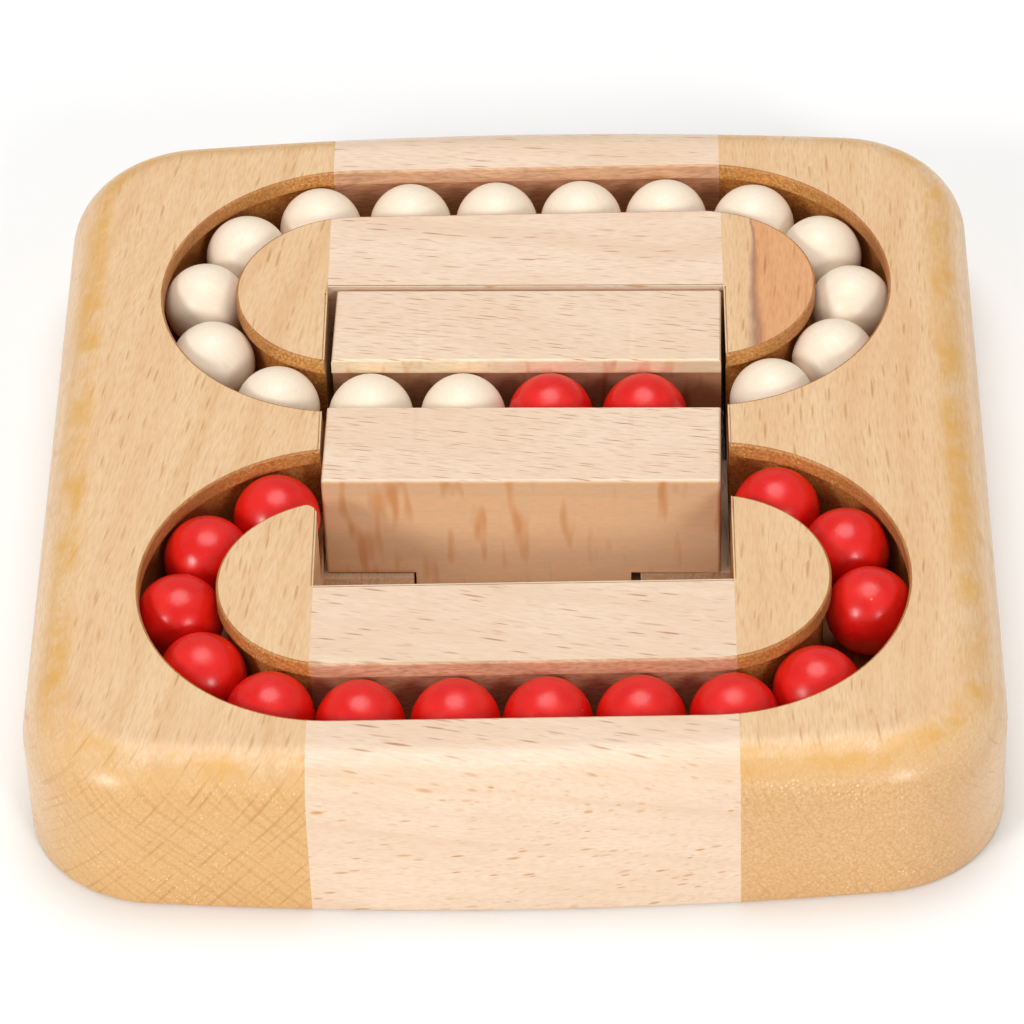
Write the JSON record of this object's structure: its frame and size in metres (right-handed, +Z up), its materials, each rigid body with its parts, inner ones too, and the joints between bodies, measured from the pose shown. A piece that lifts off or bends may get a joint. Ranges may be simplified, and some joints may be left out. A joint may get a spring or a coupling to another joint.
{
  "type": "sliding ball puzzle board",
  "caption": "Hand-held wooden puzzle board: captive balls run in racetrack grooves, and a sliding block with a channel carries them from one loop to the other.",
  "frame": {"origin": "middle of the board's outline, on its underside", "axes": "+X to the right; +Y along the board to the far loop, where the slider is at rest; +Z up, out of the playing face"},
  "size_m": [0.1306, 0.142, 0.0234],
  "materials": {
    "honey_beech": "sanded and clear waxed, grain front to back",
    "pale_beech": "sanded and clear waxed, grain left to right",
    "keeper_plywood": "sanded, unfinished",
    "natural_ball": "turned, sanded and waxed",
    "red_painted_ball": "semi-gloss red paint",
    "screw_steel": "zinc plated"
  },
  "bodies": {
    "frame": {"left_plank": "honey_beech", "right_plank": "honey_beech", "far_centre_board": "pale_beech", "near_centre_board": "pale_beech", "left_ledge": "honey_beech", "right_ledge": "honey_beech"},
    "slider": {"slider_block": "pale_beech", "keeper_plate": "keeper_plywood", "keeper_screws": "screw_steel"},
    "cream_ball_01": {"cream_ball_01": "natural_ball"},
    "cream_ball_02": {"cream_ball_02": "natural_ball"},
    "cream_ball_03": {"cream_ball_03": "natural_ball"},
    "cream_ball_04": {"cream_ball_04": "natural_ball"},
    "cream_ball_05": {"cream_ball_05": "natural_ball"},
    "cream_ball_06": {"cream_ball_06": "natural_ball"},
    "cream_ball_07": {"cream_ball_07": "natural_ball"},
    "cream_ball_08": {"cream_ball_08": "natural_ball"},
    "cream_ball_09": {"cream_ball_09": "natural_ball"},
    "cream_ball_10": {"cream_ball_10": "natural_ball"},
    "cream_ball_11": {"cream_ball_11": "natural_ball"},
    "cream_ball_12": {"cream_ball_12": "natural_ball"},
    "cream_ball_13": {"cream_ball_13": "natural_ball"},
    "cream_ball_14": {"cream_ball_14": "natural_ball"},
    "red_ball_01": {"red_ball_01": "red_painted_ball"},
    "red_ball_02": {"red_ball_02": "red_painted_ball"},
    "red_ball_03": {"red_ball_03": "red_painted_ball"},
    "red_ball_04": {"red_ball_04": "red_painted_ball"},
    "red_ball_05": {"red_ball_05": "red_painted_ball"},
    "red_ball_06": {"red_ball_06": "red_painted_ball"},
    "red_ball_07": {"red_ball_07": "red_painted_ball"},
    "red_ball_08": {"red_ball_08": "red_painted_ball"},
    "red_ball_09": {"red_ball_09": "red_painted_ball"},
    "red_ball_10": {"red_ball_10": "red_painted_ball"},
    "red_ball_11": {"red_ball_11": "red_painted_ball"},
    "red_ball_12": {"red_ball_12": "red_painted_ball"},
    "red_ball_13": {"red_ball_13": "red_painted_ball"},
    "red_ball_14": {"red_ball_14": "red_painted_ball"},
    "cream_ball_15": {"cream_ball_15": "natural_ball"},
    "cream_ball_16": {"cream_ball_16": "natural_ball"},
    "red_ball_15": {"red_ball_15": "red_painted_ball"},
    "red_ball_16": {"red_ball_16": "red_painted_ball"}
  },
  "joints": [
    {"name": "slider_slide", "type": "slide", "parent": "frame", "child": "slider", "axis": [0, -1, 0], "range_m": [0, 0.0186]},
    {"name": "cream_ball_01_roll", "type": "hinge", "parent": "frame", "child": "cream_ball_01", "pos_m": [-0.0236, 0.0307, 0.0174], "axis": [0, 0, -1], "range_deg": [0, 13.2]},
    {"name": "cream_ball_02_roll", "type": "hinge", "parent": "frame", "child": "cream_ball_02", "pos_m": [-0.0236, 0.0307, 0.0174], "axis": [0, 0, -1], "range_deg": [0, 9.1]},
    {"name": "cream_ball_03_roll", "type": "hinge", "parent": "frame", "child": "cream_ball_03", "pos_m": [-0.0236, 0.0307, 0.0174], "axis": [0, 0, -1], "range_deg": [0, 6.77]},
    {"name": "cream_ball_04_roll", "type": "hinge", "parent": "frame", "child": "cream_ball_04", "pos_m": [-0.0236, 0.0307, 0.0174], "axis": [0, 0, -1], "range_deg": [0, 6.77]},
    {"name": "cream_ball_05_roll", "type": "hinge", "parent": "frame", "child": "cream_ball_05", "pos_m": [-0.0236, 0.0307, 0.0174], "axis": [0, 0, -1], "range_deg": [0, 6.77]},
    {"name": "cream_ball_06_roll", "type": "slide", "parent": "frame", "child": "cream_ball_06", "axis": [1, 0, 0], "range_m": [0, 0.00185]},
    {"name": "cream_ball_07_roll", "type": "slide", "parent": "frame", "child": "cream_ball_07", "axis": [1, 0, 0], "range_m": [0, 0.00164]},
    {"name": "cream_ball_08_roll", "type": "slide", "parent": "frame", "child": "cream_ball_08", "axis": [1, 0, 0], "range_m": [0, 0.0016]},
    {"name": "cream_ball_09_roll", "type": "slide", "parent": "frame", "child": "cream_ball_09", "axis": [1, 0, 0], "range_m": [0, 0.00156]},
    {"name": "cream_ball_10_roll", "type": "hinge", "parent": "frame", "child": "cream_ball_10", "pos_m": [0.0262, 0.0307, 0.0174], "axis": [0, 0, -1], "range_deg": [0, 2.89]},
    {"name": "cream_ball_11_roll", "type": "hinge", "parent": "frame", "child": "cream_ball_11", "pos_m": [0.0262, 0.0307, 0.0174], "axis": [0, 0, -1], "range_deg": [0, 2.89]},
    {"name": "cream_ball_12_roll", "type": "hinge", "parent": "frame", "child": "cream_ball_12", "pos_m": [0.0262, 0.0307, 0.0174], "axis": [0, 0, -1], "range_deg": [0, 2.89]},
    {"name": "cream_ball_13_roll", "type": "hinge", "parent": "frame", "child": "cream_ball_13", "pos_m": [0.0262, 0.0307, 0.0174], "axis": [0, 0, -1], "range_deg": [0, 2.89]},
    {"name": "cream_ball_14_roll", "type": "hinge", "parent": "frame", "child": "cream_ball_14", "pos_m": [0.0262, 0.0307, 0.0174], "axis": [0, 0, -1], "range_deg": [0, 2.33]},
    {"name": "red_ball_01_roll", "type": "hinge", "parent": "frame", "child": "red_ball_01", "pos_m": [-0.0236, -0.0313, 0.0174], "axis": [0, 0, 1], "range_deg": [0, 13.2]},
    {"name": "red_ball_02_roll", "type": "hinge", "parent": "frame", "child": "red_ball_02", "pos_m": [-0.0236, -0.0313, 0.0174], "axis": [0, 0, 1], "range_deg": [0, 12.93]},
    {"name": "red_ball_03_roll", "type": "hinge", "parent": "frame", "child": "red_ball_03", "pos_m": [-0.0236, -0.0313, 0.0174], "axis": [0, 0, 1], "range_deg": [0, 12.93]},
    {"name": "red_ball_04_roll", "type": "hinge", "parent": "frame", "child": "red_ball_04", "pos_m": [-0.0236, -0.0313, 0.0174], "axis": [0, 0, 1], "range_deg": [0, 12.93]},
    {"name": "red_ball_05_roll", "type": "hinge", "parent": "frame", "child": "red_ball_05", "pos_m": [-0.0236, -0.0313, 0.0174], "axis": [0, 0, 1], "range_deg": [0, 12.93]},
    {"name": "red_ball_06_roll", "type": "slide", "parent": "frame", "child": "red_ball_06", "axis": [1, 0, 0], "range_m": [0, 0.0049]},
    {"name": "red_ball_07_roll", "type": "slide", "parent": "frame", "child": "red_ball_07", "axis": [1, 0, 0], "range_m": [0, 0.00472]},
    {"name": "red_ball_08_roll", "type": "slide", "parent": "frame", "child": "red_ball_08", "axis": [1, 0, 0], "range_m": [0, 0.00472]},
    {"name": "red_ball_09_roll", "type": "slide", "parent": "frame", "child": "red_ball_09", "axis": [1, 0, 0], "range_m": [0, 0.00472]},
    {"name": "red_ball_10_roll", "type": "hinge", "parent": "frame", "child": "red_ball_10", "pos_m": [0.0262, -0.0313, 0.0174], "axis": [0, 0, 1], "range_deg": [0, 12.46]},
    {"name": "red_ball_11_roll", "type": "hinge", "parent": "frame", "child": "red_ball_11", "pos_m": [0.0262, -0.0313, 0.0174], "axis": [0, 0, 1], "range_deg": [0, 12.46]},
    {"name": "red_ball_12_roll", "type": "hinge", "parent": "frame", "child": "red_ball_12", "pos_m": [0.0262, -0.0313, 0.0174], "axis": [0, 0, 1], "range_deg": [0, 2.59]},
    {"name": "red_ball_13_roll", "type": "hinge", "parent": "frame", "child": "red_ball_13", "pos_m": [0.0262, -0.0313, 0.0174], "axis": [0, 0, 1], "range_deg": [0, 2.5]},
    {"name": "red_ball_14_roll", "type": "hinge", "parent": "frame", "child": "red_ball_14", "pos_m": [0.0262, -0.0313, 0.0174], "axis": [0, 0, 1], "range_deg": [0, 1.67]},
    {"name": "cream_ball_15_roll", "type": "slide", "parent": "slider", "child": "cream_ball_15", "axis": [0.9997, -0.0244, 0], "range_m": [0, 0.00665]},
    {"name": "cream_ball_16_roll", "type": "slide", "parent": "slider", "child": "cream_ball_16", "axis": [0.9997, -0.0244, 0], "range_m": [0, 0.0059]},
    {"name": "red_ball_15_roll", "type": "slide", "parent": "slider", "child": "red_ball_15", "axis": [0.9997, -0.0244, 0], "range_m": [0, 0.00585]},
    {"name": "red_ball_16_roll", "type": "slide", "parent": "slider", "child": "red_ball_16", "axis": [0.9997, -0.0244, 0], "range_m": [0, 0.0049]}
  ],
  "couplings": [
    {"joint": "cream_ball_02_roll", "follows": "cream_ball_01_roll", "ratio": 0.68917},
    {"joint": "cream_ball_03_roll", "follows": "cream_ball_01_roll", "ratio": 0.51275},
    {"joint": "cream_ball_04_roll", "follows": "cream_ball_01_roll", "ratio": 0.51275},
    {"joint": "cream_ball_05_roll", "follows": "cream_ball_01_roll", "ratio": 0.51275},
    {"joint": "cream_ball_06_roll", "follows": "cream_ball_01_roll", "m_per_rad": 0.008028},
    {"joint": "cream_ball_07_roll", "follows": "cream_ball_01_roll", "m_per_rad": 0.007116},
    {"joint": "cream_ball_08_roll", "follows": "cream_ball_01_roll", "m_per_rad": 0.006934},
    {"joint": "cream_ball_09_roll", "follows": "cream_ball_01_roll", "m_per_rad": 0.006752},
    {"joint": "cream_ball_10_roll", "follows": "cream_ball_01_roll", "ratio": 0.21874},
    {"joint": "cream_ball_11_roll", "follows": "cream_ball_01_roll", "ratio": 0.21874},
    {"joint": "cream_ball_12_roll", "follows": "cream_ball_01_roll", "ratio": 0.21874},
    {"joint": "cream_ball_13_roll", "follows": "cream_ball_01_roll", "ratio": 0.21874},
    {"joint": "cream_ball_14_roll", "follows": "cream_ball_01_roll", "ratio": 0.17674},
    {"joint": "red_ball_02_roll", "follows": "red_ball_01_roll", "ratio": 0.97901},
    {"joint": "red_ball_03_roll", "follows": "red_ball_01_roll", "ratio": 0.97901},
    {"joint": "red_ball_04_roll", "follows": "red_ball_01_roll", "ratio": 0.97901},
    {"joint": "red_ball_05_roll", "follows": "red_ball_01_roll", "ratio": 0.97901},
    {"joint": "red_ball_06_roll", "follows": "red_ball_01_roll", "m_per_rad": 0.021245},
    {"joint": "red_ball_07_roll", "follows": "red_ball_01_roll", "m_per_rad": 0.020486},
    {"joint": "red_ball_08_roll", "follows": "red_ball_01_roll", "m_per_rad": 0.020486},
    {"joint": "red_ball_09_roll", "follows": "red_ball_01_roll", "m_per_rad": 0.020486},
    {"joint": "red_ball_10_roll", "follows": "red_ball_01_roll", "ratio": 0.94406},
    {"joint": "red_ball_11_roll", "follows": "red_ball_01_roll", "ratio": 0.94406},
    {"joint": "red_ball_12_roll", "follows": "red_ball_01_roll", "ratio": 0.19602},
    {"joint": "red_ball_13_roll", "follows": "red_ball_01_roll", "ratio": 0.18903},
    {"joint": "red_ball_14_roll", "follows": "red_ball_01_roll", "ratio": 0.12611},
    {"joint": "cream_ball_16_roll", "follows": "cream_ball_15_roll", "ratio": 0.88722},
    {"joint": "red_ball_15_roll", "follows": "cream_ball_15_roll", "ratio": 0.8797},
    {"joint": "red_ball_16_roll", "follows": "cream_ball_15_roll", "ratio": 0.73684}
  ]
}
